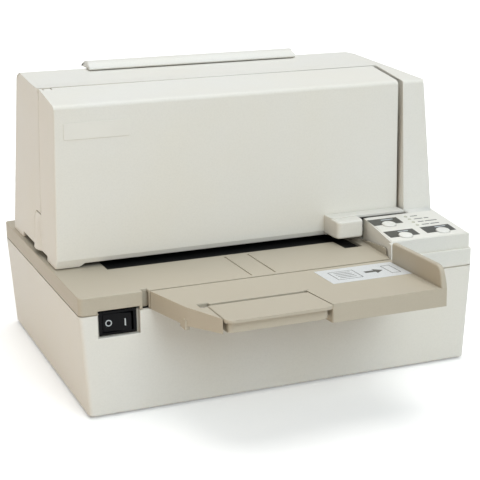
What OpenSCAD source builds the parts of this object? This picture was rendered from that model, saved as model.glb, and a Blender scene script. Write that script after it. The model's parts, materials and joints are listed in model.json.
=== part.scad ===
// Flatbed impact printer for single slips, with a hinged front cover and a slip table.
// Millimetres. X to the right, Y to the back, Z up. The origin lies on the desk, below the
// middle of the whole outline. Modules inside in_case() count Y from the case's front face
// and Z from the case's lower edge.

/* [Case] */
// Width of the case and the deck
body_w = 252; // [236:1:306]
// Depth of the case, without the slip table
body_d = 196; // [186:1:240]
// Height of the lower case up to its split line
case_h = 60; // [56:1:74]
// Height of the deck band above the split line
deck_h = 11; // [10:0.5:14]
// How far each side of the lower case draws in at its foot
foot_draw = 3.6; // [0:0.1:5]
// Thickness of the moulded shells
wall = 2.4; // [2:0.1:2.8]
// How far the rubber feet stand below the case
foot_h = 1.5; // [1:0.1:4]
// Radius of a rubber foot
foot_r = 7; // [5:0.5:10]

/* [Upper housing] */
// Set-back of the front cover behind the case's front face
cover_back = 58.8; // [56:0.2:70]
// Depth of the front cover from its face to the hinge seam
cover_d = 36.2; // [34:0.2:44]
// Height of the front cover's face above the deck
cover_h = 98.1; // [90:0.1:116]
// Rise of the cover's top from its front edge to the seam
cover_rise = 5.8; // [4:0.1:9]
// Rise of the fixed top from the seam to its rear edge
top_rise = 3.7; // [1:0.1:5]
// Fall of the top towards its right edge, fall over run
top_fall = 0.3; // [0.2:0.01:0.36]
// Inset of the left wall from the deck's edge
side_inset = 2.4; // [1:0.1:4]
// How far the side walls lean in over their height
side_lean = 3.5; // [1:0.1:5]
// Width of the fixed column to the right of the cover, at its top
column_w = 18.5; // [16:0.5:24]
// How far the column's foot stands in front of the cover
column_foot = 7; // [4:0.5:8]
// How far the column widens to the left at its foot
column_flare = 1.9; // [1:0.1:2]
// Depth of the open ledge behind the upper housing
rear_ledge = 20; // [12:1:28]
// How far the rear wall leans forward at its top
rear_lean = 19; // [10:0.5:24]

/* [Cover hinge] */
// Radius of the rolled edge that the cover turns on
roll_r = 2.4; // [2.2:0.1:3]
// Diameter of the steel hinge pins
hinge_pin_d = 2; // [1.6:0.1:2.4]
// Opening angle of the cover, in degrees
cover_open = 75; // [40:1:75]

/* [Control panel] */
// Width of the panel from its left edge to the case's side
panel_w = 56.4; // [52:0.2:62]
// Depth of the panel
panel_d = 46; // [44:0.5:48]
// Height of the panel's front edge above the deck
panel_rise = 9.3; // [8:0.1:12]
// Slope of the panel, rise over run
panel_slope = 0.12; // [0.08:0.01:0.14]
// Diameter of the round push buttons
button_d = 8.8; // [7:0.1:10]
// Travel of the push buttons
button_travel = 1; // [0.6:0.1:1.4]

/* [Slip path] */
// Height of the slip slot between the bed and the cover
slot_h = 4.2; // [4.1:0.1:5]
// Drop from the deck to the bed in its throat
bed_drop = 1.6; // [1.2:0.1:2]
// Distance of the form's right edge from the case's right side
form_edge = 61; // [59.5:0.1:63]
// How far the slip table reaches in front of the case
table_reach = 70; // [62:1:84]
// Width of the slip table at its rear edge
table_w = 150; // [136:1:160]
// Height of the guide wall above the table
guide_h = 12.2; // [8:0.2:16]
// Width of the slot where slips leave at the top
exit_w = 137; // [120:1:140]
// Clear gap of the curved chute
chute_gap = 4; // [3.6:0.1:4.2]

/* [Mechanism] */
// Diameter of the carriage guide shaft
guide_shaft_d = 8; // [6:0.5:10]
// Diameter of the feed roller shafts
feed_shaft_d = 6; // [4:0.5:7]
// Diameter of the rubber feed rollers
feed_roller_d = 12; // [11:0.2:12.6]
// Diameter of the pinch rollers
pinch_d = 10; // [8:0.5:11]
// Diameter of the print head's body
head_d = 30; // [26:1:31]
// Travel of the carriage to either side of the middle
carriage_travel = 60; // [40:1:62]
// Tooth size of the feed gears, pitch diameter over teeth
gear_module = 0.8; // [0.7:0.05:0.85]

/* [Fits] */
// Radial clearance of shafts and pins in their bores
run_fit = 0.05; // [0.02:0.01:0.1]
// Gap between fixed mouldings that meet
seat_gap = 0.3; // [0.1:0.05:0.4]
// Gap around parts that move
move_gap = 0.6; // [0.4:0.1:0.8]

/* [Hidden] */

half_w = body_w / 2;
front_y = -(body_d - table_reach) / 2;
deck_z = case_h + deck_h;

// Upper housing, seen from the side
cover_top_z = deck_z + cover_h;
seam_y = cover_back + cover_d;
seam_z = cover_top_z + cover_rise;
top_z = seam_z + top_rise;
rear_y = body_d - rear_ledge;
rear_top_y = rear_y - rear_lean;
rear_drop = 2.6;
flat_top_d = 13;
low_z = case_h - 20;
cover_slope = cover_rise / cover_d;
cover_tilt = atan(cover_slope);
rear_slope = rear_lean / (top_z - rear_drop - deck_z);
column_h = cover_h - panel_rise - panel_slope * panel_d;
function front_of_column(z) = cover_back - column_foot * (cover_top_z - z) / column_h;
function back_of_housing(z) = rear_y - rear_slope * (z - deck_z);

// Upper housing, seen from the front
column_x = half_w - column_w;
function left_of_column(z) = column_x - column_flare * (cover_top_z - z) / column_h;
cover_right = column_x - 2.7;
knee_z = deck_z + 13;
function left_of_housing(z) =
    -half_w + side_inset + side_lean * (z - deck_z) / (seam_z - deck_z);
function right_of_housing(z) = half_w - side_lean * (z - knee_z) / (seam_z - knee_z);

// Slanted strip along the top's right edge: a point of it, and its rise to the back
strip_at = [right_of_housing(cover_top_z), cover_back + 4, cover_top_z + 0.3];
strip_rise = 0.065;

// Rounding of the top's front edge, on the column and on the cover
edge_r = wall + 0.4;

// Cover hinge: its axis lies one roll radius under the sloping top
hinge_pin_r = hinge_pin_d / 2;
roll_drop = 0.35;
axis_y = seam_y - 0.4 + roll_r * sin(cover_tilt);
axis_z = seam_z - roll_drop - roll_r * cos(cover_tilt);
open_normal = 90 + cover_tilt - cover_open;
lip_y = axis_y + (roll_r + roll_drop - (seam_z - axis_z) * sin(open_normal)) / cos(open_normal) + 0.4;
ear_w = 4.4;
ear_x = left_of_housing(seam_z) + wall + 0.6;
roll_x = ear_x + ear_w + 0.4;

// Control panel
panel_x = half_w - panel_w;
panel_front = 2.4;
panel_right = half_w - 1.2;
panel_back = panel_front + panel_d - 2.2;
panel_flare = 0.08;
panel_wall = 2.2;
panel_tilt = atan(panel_slope);
film_t = 0.25;
label_t = 0.1;
button_r = button_d / 2;
button_h = 1;
board_drop = 9;
button_at = [[panel_x + 13.6, 30.3], [panel_x + 14.4, 10], [half_w - 15.6, 10.3]];
label_at = [[panel_x + 3.6, 30.4], [panel_x + 3.6, 9], [half_w - 27, 9.3]];
label_size = [20.4, 10.2];
led_at = [for (k = [0:3]) [half_w - 26, 24 + 5.1 * k]];
led_r = 1.1;
screw_at = [[panel_x + 6, 7], [half_w - 8, 25], [panel_x + 22, 41], [panel_x + 29, 8]];

// Deck
deck_x = half_w - 57.6;
deck_step_x = half_w - 42;
deck_step_y = 53;
throat_y = cover_back - 8.3;
throat_x = [-half_w + 31.5, half_w - 59.5];
inner_throat_y = cover_back + 13.4;
pocket_x = throat_x[1] - 12;
pocket_y = throat_y - 17;
upstand_t = 1;
grip_y = seam_y + 9;
grip_half = 10.5;
grip_top = deck_z + 26;
grip_out = half_w;
hand_gap = 3.4;

// Slip table
guide_x = half_w - form_edge;
guide_t = 3.2;
table_back = -0.8;
table_left = guide_x - table_w;
table_right = guide_x + guide_t;
table_h = 10.7;
table_top_t = 2.2;
table_front = -table_reach + 4;
guide_back = table_back - 6.6;
leaf_y = -37.5;
leaf_x = guide_x - 70.4;
leaf_slant = 0.085;
side_slant = 0.232;
tip_slant = 0.404;
leaf_left = table_left + 20;
lip_t = 1.7;
leaf_h = 8;
groove_w = 1.6;
leaf_pin_r = 1;
leaf_axis = [leaf_y - 2.9, deck_z - leaf_h - 0.5];
leaf_knuckle = 2.3;
hole_x = table_left + 15.4;
hole_size = [6.6, 4];
function table_side(y) = table_left + side_slant * (table_back - max(y, leaf_y))
    + tip_slant * max(leaf_y - y, 0);
function leaf_side(y) = leaf_x + leaf_slant * (leaf_y - y);

// Rocker switch
switch_x = -half_w + 23;
switch_z = case_h - 6.3;
switch_open = [24.6, 14.8];
switch_bezel = [22, 13.8];
switch_hole = [19.4, 12.2];
switch_in = 4.2;
rocker_tilt = 9;

// Slip path and mechanism
print_y = cover_back + 45.2;
frame_t = 1.6;
frame_left = -half_w + 20;
frame_right = half_w - 50;
chassis_z = 6;
chassis_t = 1.2;
frame_z = chassis_z + chassis_t;
bed_z = deck_z - bed_drop;
frame_front = inner_throat_y + move_gap;
frame_back = print_y + 50;
frame_top = deck_z + 55;
bed_t = 1.6;
sheet_t = 1.2;
feed_r = feed_roller_d / 2;
feed_shaft_r = feed_shaft_d / 2;
pinch_r = pinch_d / 2;
feed_z = bed_z + 0.3 - feed_r;
pinch_z = bed_z + 0.6 + pinch_r;
front_feed_y = print_y - 20;
rear_feed_y = print_y + 14;
middle_x = (frame_left + frame_right) / 2;
roller_at = [middle_x - 55, middle_x - 5, middle_x + 45];
roller_w = 16;
pinch_shaft_r = 2;

// Curved chute, tangent to the bed and to the sloping rear wall
chute_r = 41;
chute_tilt = atan(rear_slope);
chute_back = rear_y - wall / cos(chute_tilt) - seat_gap - sheet_t;
chute_z = bed_z + chute_r;
chute_y = chute_back - rear_slope * (chute_z - deck_z) - chute_r / cos(chute_tilt);
chute_top = seam_z - 3;
exit_x = guide_x - exit_w;
function chute_line(z, d) = chute_back - rear_slope * (z - deck_z) - d / cos(chute_tilt);
exit_y = chute_line(top_z, chute_gap / 2);
exit_gap = chute_gap + 0.6;

// Carriage drive
shaft_r = guide_shaft_d / 2;
shaft_y = print_y + 26;
shaft_z = deck_z + 35;
carriage_w = 34;
bush_r = shaft_r + 1.5;
head_r = head_d / 2;
head_z = deck_z + 21;
ring_z = deck_z + 27;
pulley_r = 6.366;
belt_t = 1.2;
belt_w = 6;
belt_y = print_y + 43;
belt_z = deck_z + 32;
idler_x = frame_left + 12;
motor_x = frame_right + 22;
motor_r = 17.5;
rail_y = print_y + 37;
rail_z = deck_z + 46;

// Feed gears, meshing in the plane outside the left frame
roller_teeth = 18;
idler_teeth = 32;
pinion_teeth = 12;
function pitch_r(teeth) = gear_module * teeth / 2;
gear_reach = pitch_r(roller_teeth) + pitch_r(idler_teeth);
gear_mid_y = (front_feed_y + rear_feed_y) / 2;
gear_half = (rear_feed_y - front_feed_y) / 2;
idler_z = feed_z - sqrt(gear_reach * gear_reach - gear_half * gear_half);
pinion_z = idler_z - pitch_r(idler_teeth) - pitch_r(pinion_teeth);
gear_x = frame_left - 8;
gear_w = 5;
feed_motor_r = 18;

// Colours
off_white = [0.87, 0.86, 0.82];
beige = [0.74, 0.70, 0.62];
dark_grey = [0.24, 0.24, 0.23];
black = [0.06, 0.06, 0.07];
steel = [0.66, 0.67, 0.68];
board_green = [0.10, 0.34, 0.20];

// Helpers

module in_case() translate([0, front_y, foot_h]) children();

module box(a, b) translate(a) cube(b - a);

module rod_x(x0, x1, y, z, r) translate([x0, y, z]) rotate([0, 90, 0])
    cylinder(h = x1 - x0, r = r, $fn = 48);

module rod_y(y0, y1, x, z, r) translate([x, y1, z]) rotate([90, 0, 0])
    cylinder(h = y1 - y0, r = r, $fn = 48);

module rod_z(z0, z1, x, y, r) translate([x, y, z0]) cylinder(h = z1 - z0, r = r, $fn = 48);

// An outline of Y and Z drawn out along X
module along_x(x0, x1) translate([x0, 0, 0]) rotate([90, 0, 90])
    linear_extrude(x1 - x0) children();

// An outline of X and Z drawn out along Y
module along_y(y0, y1) translate([0, y1, 0]) rotate([90, 0, 0])
    linear_extrude(y1 - y0) children();

module along_z(z0, z1) translate([0, 0, z0]) linear_extrude(z1 - z0) children();

function unit(v) = v / norm(v);

// Each side of a counterclockwise outline moved inwards by d
function inset(pts, d) = [
    for (i = [0:len(pts) - 1])
        let (m = len(pts), p = pts[i])
        let (u = unit(p - pts[(i + m - 1) % m]), v = unit(pts[(i + 1) % m] - p))
        let (n1 = [-u[1], u[0]], n2 = [-v[1], v[0]])
        p + (n1 + n2) * d / (1 + n1 * n2)
];

// Points of the arc that rounds corner p between neighbours a and b
function corner(a, p, b, r, n) =
    let (u = unit(a - p), v = unit(b - p), half = acos(u * v) / 2)
    let (c = p + unit(u + v) * r / sin(half))
    let (s = p + u * r / tan(half) - c, e = p + v * r / tan(half) - c)
    let (a0 = atan2(s[1], s[0]), turn = atan2(s[0] * e[1] - s[1] * e[0], s * e))
    [for (k = [0:n]) c + r * [cos(a0 + turn * k / n), sin(a0 + turn * k / n)]];

// An outline with its corners rounded, one radius for each point
function rounded(pts, radii, n = 4) = [
    for (i = [0:len(pts) - 1])
        let (m = len(pts), a = pts[(i + m - 1) % m], b = pts[(i + 1) % m])
        each (radii[i] == 0 ? [pts[i]] : corner(a, pts[i], b, radii[i], n))
];

function rect(x0, y0, x1, y1) = [[x0, y0], [x1, y0], [x1, y1], [x0, y1]];

function arc(c, r, a0, a1, n) =
    [for (k = [0:n]) c + r * [cos(a0 + (a1 - a0) * k / n), sin(a0 + (a1 - a0) * k / n)]];

function panel_z(y) = deck_z + panel_rise + panel_slope * (y - panel_front);

// The panel's own frame: X as before, Y up the slope, Z away from its surface
module on_panel() translate([0, panel_front, panel_z(panel_front)]) rotate([panel_tilt, 0, 0])
    translate([0, -panel_front, 0]) children();

// Casing

module case_block(z0, z1, d) {
    r = 3;
    levels = [for (z = [z0, z1]) [z, foot_draw * (case_h - z) / case_h]];
    hull() for (level = levels) for (x = [-1, 1]) for (y = [0, 1])
        translate([
            x * (half_w - level[1] - d - r),
            y * body_d + (1 - 2 * y) * (d + r + level[1] / 4),
            level[0],
        ]) cylinder(h = 0.01, r = r, $fn = 32);
}

boss_at = [for (x = [-1, 1]) for (y = [28, body_d - 28]) [x * (half_w - 30), y]];
feet_at = [for (x = [-1, 1]) for (y = [20, body_d - 20]) [x * (half_w - 22), y]];

// One row for each rear socket: its middle, width and height
socket_at = [[-14, 54, 12.6], [40, 14, 13], [66, 15, 15]];
board_z = chassis_z + 7.8;
board_t = 1.6;

module lower_case() in_case() color(off_white) difference() {
    union() {
        difference() {
            case_block(0, case_h - 0.01, 0);
            case_block(wall, case_h + 1, wall);
        }
        for (p = boss_at) rod_z(wall - 0.1, chassis_z, p[0], p[1], 4.5);
        box(
            [switch_x - switch_open[0] / 2 - 2, wall / 2, switch_z - switch_open[1] / 2 - 2],
            [switch_x + switch_open[0] / 2 + 2, switch_in + 1.6, case_h - 0.01]
        );
    }
    for (p = boss_at) rod_z(wall + 0.6, chassis_z + 1, p[0], p[1], 1.7 + run_fit);
    for (p = feet_at) rod_z(-1, 0.8, p[0], p[1], foot_r + 0.1);
    box(
        [switch_x - switch_open[0] / 2, -1, switch_z - switch_open[1] / 2],
        [switch_x + switch_open[0] / 2, switch_in, case_h + 1]
    );
    box(
        [switch_x - switch_hole[0] / 2 - 0.1, -1, switch_z - switch_hole[1] / 2 - 0.1],
        [switch_x + switch_hole[0] / 2 + 0.1, switch_in + 3, switch_z + switch_hole[1] / 2 + 0.1]
    );
    for (s = socket_at) box(
        [s[0] - s[1] / 2 - seat_gap, body_d - 8, board_z + board_t - seat_gap],
        [s[0] + s[1] / 2 + seat_gap, body_d + 1, board_z + board_t + s[2] + seat_gap]
    );
}

module rubber_feet() in_case() color(dark_grey)
    for (p = feet_at) rod_z(-foot_h, 0.8, p[0], p[1], foot_r);

// The joint line between the deck and the panel's moulding, from the front to the back
function deck_edge(d) = [
    [deck_x + d, 0], [deck_x + d, 3.7 - d], [panel_x + panel_flare * 3.7 + d, 3.7 - d],
    [panel_x + panel_flare * 46 + d, 46], [panel_x + panel_flare * 46 + d, deck_step_y],
];

module deck_cover() in_case() color(beige) difference() {
    outline = concat(
        corner([-half_w, 9], [-half_w, 0], [9, 0], 3, 4), deck_edge(0),
        [[deck_step_x, deck_step_y], [deck_step_x, body_d]],
        corner([9, body_d], [-half_w, body_d], [-half_w, 9], 3, 4)
    );
    union() {
        difference() {
            along_z(case_h, deck_z) polygon(outline);
            along_z(case_h - 1, deck_z - wall) polygon(inset(outline, wall));
        }
        intersection() {
            along_z(deck_z - 0.1, panel_z(panel_back)) polygon([
                [panel_x - upstand_t + panel_flare * 4, 4], [panel_x + panel_flare * 4, 4],
                [panel_x + panel_flare * 44, 44], [panel_x - upstand_t + panel_flare * 44, 44],
            ]);
            along_x(panel_x - 4, panel_x + 8) polygon(rounded([
                [8, deck_z - 1], [44, deck_z - 1], [44, deck_z + 0.8], [8, deck_z + 4.6],
            ], [0, 0, 0, 2.5]));
        }
    }
    // Throat over the print station, with a pocket under the cover's catch
    box([frame_left - 12, inner_throat_y, case_h - 1], [deck_step_x - 4, rear_y - 6, deck_z + 1]);
    box([throat_x[0], throat_y, case_h - 1], [throat_x[1], inner_throat_y + 1, deck_z + 1]);
    box([pocket_x, pocket_y, case_h - 1], [throat_x[1], throat_y + 1, deck_z + 1]);
    // Shallow grooves of the slip bed
    for (x = [guide_x - 86.4, guide_x - 71.3])
        box([x - 0.55, 3.2, deck_z - 0.6], [x + 0.55, throat_y - 3.8, deck_z + 1]);
    // Notch beside the slip table
    box([table_left - 4.2, -1, case_h - 1], [table_left - 0.2, wall + 2, deck_z + 1]);
    // Room over the rocker switch
    box(
        [switch_x - switch_open[0] / 2, -1, case_h - 1],
        [switch_x + switch_open[0] / 2, wall + 2, switch_z + switch_open[1] / 2 + 1.2]
    );
    // Sockets for the slip table's tongues
    for (x = tongue_at) box([x - 6.3, -1, case_h + 2.7], [x + 6.3, wall + 1, case_h + 6.3]);
}

tongue_at = [table_left + 24, guide_x - 26];

column_side = rounded([
    [front_of_column(low_z), low_z], [back_of_housing(low_z), low_z],
    [rear_top_y, top_z - rear_drop], [rear_top_y - 9, top_z], [seam_y + flat_top_d, seam_z],
    [seam_y, seam_z], [cover_back, cover_top_z],
], [0, 0, 5, 6, 30, 8, edge_r], 6);

housing_face = [
    [left_of_housing(low_z), low_z], [half_w, low_z], [half_w, knee_z],
    [right_of_housing(top_z + 8), top_z + 8], [left_of_housing(top_z + 8), top_z + 8],
];

module housing_block(d) difference() {
    intersection() {
        along_x(-half_w - 2, half_w + 2) polygon(inset(column_side, d));
        along_y(-1, body_d + 1) polygon(inset(housing_face, d));
    }
    // The strip that falls to the right edge
    translate(strip_at) rotate([atan(strip_rise * cos(atan(top_fall))), atan(top_fall), 0])
        box([-40, -90, -d], [40, 200, 60]);
}

// The slab of the column's left wall, from out to the left of its face to d inside it
module column_slab(z0, out, d) along_y(-9, lip_y + 3) polygon([
    [left_of_column(z0) - out, z0], [left_of_column(z0) + d, z0],
    [column_x + d, cover_top_z], [column_x + d, top_z + 9],
    [column_x - out, top_z + 9], [column_x - out, cover_top_z],
]);

joint_edge = deck_edge(seat_gap);
band_outline = concat(
    corner([9, 0], [half_w, 0], [half_w, 9], 3, 4),
    corner([half_w, 9], [half_w, body_d], [9, body_d], 3, 4),
    [[deck_step_x + seat_gap, body_d], [deck_step_x + seat_gap, deck_step_y - seat_gap]],
    [[joint_edge[4][0], deck_step_y - seat_gap], joint_edge[3]],
    [joint_edge[2], joint_edge[1], joint_edge[0]]
);

function panel_left(y) = panel_x + seat_gap + panel_flare * y;

band_hollow = [
    [panel_left(4) + wall, wall], [half_w - wall, wall], [half_w - wall, body_d - wall],
    [deck_step_x + seat_gap + wall, body_d - wall],
    [deck_step_x + seat_gap + wall, deck_step_y - seat_gap - wall],
    [panel_left(46) + wall, deck_step_y - seat_gap - wall], [panel_left(46) + wall, 46],
];

foot_x = column_x - column_flare + 0.2;

function block_plan(d, back) = [
    [panel_left(panel_front) + d, panel_front + d], [panel_right - d, panel_front + d],
    [panel_right - d, back], [foot_x + d, back], [foot_x + d, panel_back - d],
    [panel_left(panel_back) + d, panel_back - d],
];

module panel_block(d, top) intersection() {
    along_z(deck_z - 4, deck_z + 40) polygon(block_plan(d, cover_back + 2 + d / 4));
    along_x(panel_x - 5, half_w) polygon([
        [panel_front - 1, deck_z - 4], [cover_back + 3, deck_z - 4],
        [cover_back + 3, panel_z(cover_back + 3) - top], [panel_front - 1, panel_z(panel_front - 1) - top],
    ]);
}

tongue_side = rounded([
    [grip_y - grip_half - 4, deck_z + hand_gap], [grip_y + grip_half, deck_z + hand_gap],
    [grip_y + grip_half - 0.5, grip_top - 5], [grip_y + 6, grip_top], [grip_y - grip_half - 4, grip_top],
], [0, 0, 6, 4, 0]);

module rear_housing() in_case() color(off_white) {
    housing_shell();
    hinge_ear();
    on_panel() for (p = screw_at) rod_z(-board_drop, -panel_wall + 0.2, p[0], p[1], 2.4);
}

// Ear under the top's lip that holds the left hinge pin
module hinge_ear() difference() {
    union() {
        rod_x(ear_x, ear_x + ear_w, axis_y, axis_z, roll_r - 0.1);
        along_x(ear_x, ear_x + ear_w) polygon([
            [axis_y, axis_z - roll_r + 0.1], [lip_y + 8, axis_z - roll_r + 0.1],
            [lip_y + 8, seam_z - wall + 0.3], [lip_y + 1.6, seam_z - 1],
            [axis_y, axis_z + roll_r - 0.1],
        ]);
    }
    rod_x(ear_x + 0.4, ear_x + ear_w + 1, axis_y, axis_z, hinge_pin_r + run_fit);
}

module housing_shell() difference() {
    union() {
        difference() {
            housing_block(0);
            box([-half_w - 3, -9, low_z - 9], [half_w + 3, body_d + 9, deck_z]);
            difference() {
                column_slab(deck_z - 1, body_w, 0);
                box([-half_w - 9, lip_y, low_z], [half_w, body_d, top_z + 20]);
            }
            box([-half_w - 3, lip_y - 1, deck_z - 1], [-half_w + 20, rear_y - 28, deck_z + hand_gap]);
            along_x(-half_w - 3, -half_w + 20)
                polygon(inset(tongue_side, -move_gap));
        }
        difference() {
            along_z(case_h, deck_z) polygon(band_outline);
            along_z(case_h - 1, deck_z - wall) polygon(band_hollow);
            box([deck_step_x + 6, cover_back + 4, case_h], [half_w - 8, rear_y - 6, deck_z + 1]);
        }
        panel_block(0, 0);
        box([deck_x + seat_gap, 0.3, deck_z - 0.1],
            [panel_x + 1.4, panel_front + 1, panel_z(panel_front) - 0.4]);
    }
    // Hollow of the upper housing, with the column's left wall kept
    difference() {
        housing_block(wall);
        column_slab(low_z, 0.01, wall);
        box([panel_x, 0, low_z], [half_w, cover_back + 2, panel_z(cover_back) + 0.1]);
        box([-half_w, 0, low_z], [half_w, body_d, deck_z - 0.01]);
    }
    // Hollow of the panel block, open to the case below
    panel_block(wall, panel_wall);
    // Bevelled lip behind the rolled edge of the cover
    along_x(-half_w - 3, column_x) polygon([
        [lip_y - 3, seam_z + 1], [lip_y, seam_z + 0.02], [lip_y + 1.5, seam_z - wall - 0.4],
        [lip_y - 3, seam_z - wall - 0.4],
    ]);
    // Slot where the slips leave
    box([exit_x - 1, exit_y - exit_gap / 2 - 0.4, seam_z - 6],
        [guide_x + 1, exit_y + exit_gap / 2 + 0.4, top_z + 3]);
    // Bore of the right hinge pin
    rod_x(column_x - 1, column_x + wall + 1, axis_y, axis_z, hinge_pin_r + run_fit);
    // Rear vents
    for (k = [0:11]) translate([40 + 4.5 * k, back_of_housing(deck_z + 30), deck_z + 30])
        rotate([chute_tilt, 0, 0]) box([0, -5, 0], [2, 5, 42]);
    panel_holes();
}

module panel_holes() on_panel() {
    for (p = button_at) rod_z(-4, 2, p[0], p[1], button_r + 0.3);
    for (p = led_at) rod_z(-4, 2, p[0], p[1], led_r + 0.1);
}

// Front cover

cover_side = rounded([
    [cover_back, low_z], [seam_y + 1.3, low_z], [seam_y + 1.3, seam_z - 7],
    [axis_y, seam_z - 7], [axis_y, seam_z - 0.1 + cover_slope * 0.2], [cover_back, cover_top_z],
], [0, 0, 0, 0, 0, edge_r], 6);

cover_face = [
    [left_of_housing(low_z), low_z], [cover_right, low_z], [cover_right - 0.5, top_z + 8],
    [left_of_housing(top_z + 8), top_z + 8],
];

module cover_block(d) intersection() {
    along_x(-half_w - 2, half_w) polygon(inset(cover_side, d));
    along_y(0, body_d) polygon(inset(cover_face, d));
}

ledge_z = panel_z(panel_back) - 0.6;
ledge_h = 2;
cover_low_z = deck_z - bed_drop + slot_h;
lip_z = deck_z + 5.7;
lip_draw = 0.42;
catch_x = panel_x - 17.6;
catch_right = panel_x + 0.9;
catch_y = cover_back - 19.6;
catch_low = deck_z + 4.2;
catch_top = deck_z + 15.4;
foot_end = -half_w + 17.4;
foot_back = cover_back + 23;
roll_right = cover_right - 0.6;
plate_at = [-half_w + 10.9, cover_top_z - 20.1];
plate_size = [40.3, 10];

// The slab that the left wall of the housing and the cover lies in
module left_slab(z0, z1, out, d) along_y(0, body_d) polygon([
    [left_of_housing(z0) - out, z0], [left_of_housing(z0) + d, z0],
    [left_of_housing(z1) + d, z1], [left_of_housing(z1) - out, z1],
]);

module cover_hollow() intersection() {
    along_x(-half_w, half_w) polygon([
        [cover_back + wall, low_z - 1], [seam_y + 5, low_z - 1],
        [seam_y + 5, cover_top_z + cover_slope * (seam_y + 5 - cover_back) - wall / cos(cover_tilt)],
        [cover_back + wall, cover_top_z + cover_slope * wall - wall / cos(cover_tilt)],
    ]);
    along_y(0, body_d) polygon(inset(cover_face, wall));
}

module grip() intersection() {
    r0 = 17;
    translate([-grip_out + r0, grip_y, deck_z + hand_gap]) cylinder(
        h = grip_top - deck_z - hand_gap,
        r1 = r0,
        r2 = r0 - grip_out - left_of_housing(grip_top) - 0.2,
        $fn = 64
    );
    left_slab(deck_z + 1, grip_top + 1, 4, 1);
}

module front_cover() in_case() color(off_white) difference() {
    union() {
        difference() {
            cover_block(0);
            cover_hollow();
            // Lower edge: a foot at the left, the slip slot, and a step over the panel
            box([-half_w - 1, 0, low_z - 1], [half_w, body_d, deck_z + 0.6]);
            along_y(0, body_d) polygon([
                [foot_end, low_z], [half_w, low_z], [half_w, cover_low_z],
                [foot_end + cover_low_z - deck_z, cover_low_z], [foot_end, deck_z + 0.7],
            ]);
            box([catch_right, 0, low_z], [half_w, body_d, ledge_z]);
            box([-half_w - 1, foot_back, low_z], [0, body_d, deck_z + hand_gap]);
            // Chamfer along the lower edge
            along_x(-half_w - 1, catch_x + 1) polygon([
                [cover_back - 1, lip_z], [cover_back, lip_z],
                [cover_back + lip_draw * (lip_z - deck_z), deck_z], [cover_back - 1, deck_z],
            ]);
        }
        intersection() {
            along_x(-half_w - 2, -half_w + 20) polygon(tongue_side);
            left_slab(deck_z, grip_top + 4, 0, wall);
        }
        grip();
        along_z(catch_low, catch_top)
            polygon(rounded(rect(catch_x, catch_y, catch_right, cover_back + 1), [3, 3, 0, 0]));
        box([catch_x, cover_back - 9.8, ledge_z], [cover_right - 0.4, cover_back + 1, ledge_z + ledge_h]);
        rod_x(roll_x - 1, roll_right, axis_y, axis_z, roll_r);
        // Rib behind the chamfer of the foot
        box([left_of_housing(deck_z) + 0.5, cover_back + wall - 0.1, deck_z + 0.6],
            [foot_end, cover_back + wall + 2, lip_z]);
    }
    // Room for the housing's ear
    box([ear_x - 0.9, axis_y - roll_r - 0.6, axis_z - roll_r - 1], [roll_x, seam_y + 4, seam_z + 3]);
    rod_x(roll_x - 1, roll_x + 10, axis_y, axis_z, hinge_pin_r + run_fit);
    rod_x(roll_right - 10, roll_right + 1, axis_y, axis_z, hinge_pin_r + run_fit);
}

module name_plate() in_case() color([0.80, 0.79, 0.75])
    along_y(cover_back - 0.5, cover_back) polygon(rounded(
        rect(plate_at[0], plate_at[1], plate_at[0] + plate_size[0], plate_at[1] + plate_size[1]),
        [1, 1, 1, 1]
    ));

module cover_hinge_pins() in_case() color(steel) {
    rod_x(ear_x + 0.6, roll_x + 9.5, axis_y, axis_z, hinge_pin_r);
    rod_x(roll_right - 9.5, column_x + wall, axis_y, axis_z, hinge_pin_r);
}

// The fixed top between the hinge and its rear crown
function fixed_top(y) =
    seam_z + top_rise * (y - seam_y - flat_top_d) / (rear_top_y - 9 - seam_y - flat_top_d);

module exit_guide() in_case() color(off_white) difference() {
    union() {
        along_x(exit_x - 4.5, guide_x + 3) polygon([
            [exit_y - 12.2, top_z - 0.2], [exit_y - 6, top_z + 0.3], [exit_y + 8, top_z + 0.5],
            [exit_y + 8, top_z + 1.2], [exit_y + 5.6, top_z + 3], [exit_y + 2, top_z + 4.3],
            [exit_y - 2, top_z + 4.8], [exit_y - 6.4, top_z + 4.5], [exit_y - 9.8, top_z + 3.3],
            [exit_y - 12, top_z + 1.6], [exit_y - 12.6, top_z + 0.5],
        ]);
        for (x = [exit_x - 2, guide_x - 3]) along_x(x, x + 5) polygon([
            [exit_y - 10, fixed_top(exit_y - 10)], [exit_y - 5, fixed_top(exit_y - 5)],
            [exit_y - 5, top_z + 1], [exit_y - 10, top_z + 1],
        ]);
    }
    box([exit_x, exit_y - exit_gap / 2, top_z - 2], [guide_x, exit_y + exit_gap / 2, top_z + 9]);
}

// Control panel

module panel_overlay() in_case() color([0.83, 0.82, 0.78]) difference() {
    on_panel() along_z(0, film_t) polygon([
        [panel_left(panel_front) + 1, panel_front + 1], [panel_right - 1.2, panel_front + 1],
        [panel_right - 1.2, panel_back - 1], [panel_left(panel_back) + 1, panel_back - 1],
    ]);
    panel_holes();
}

module button_labels() in_case() color(dark_grey) difference() {
    on_panel() for (p = label_at)
        along_z(film_t, film_t + label_t) translate(p) square(label_size);
    panel_holes();
}

// A round cap with a flange that stops under the panel
module button(p) in_case() on_panel() color([0.90, 0.89, 0.86]) {
    rod_z(-panel_wall - 1, button_h, p[0], p[1], button_r);
    rod_z(-panel_wall - 1.2, -panel_wall - 0.3, p[0], p[1], button_r + 1);
}

module button_left_rear() button(button_at[0]);
module button_left_front() button(button_at[1]);
module button_right_front() button(button_at[2]);

module led_lenses() in_case() on_panel() color([0.45, 0.60, 0.30])
    for (p = led_at) rod_z(-board_drop, film_t + 0.3, p[0], p[1], led_r);

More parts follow.
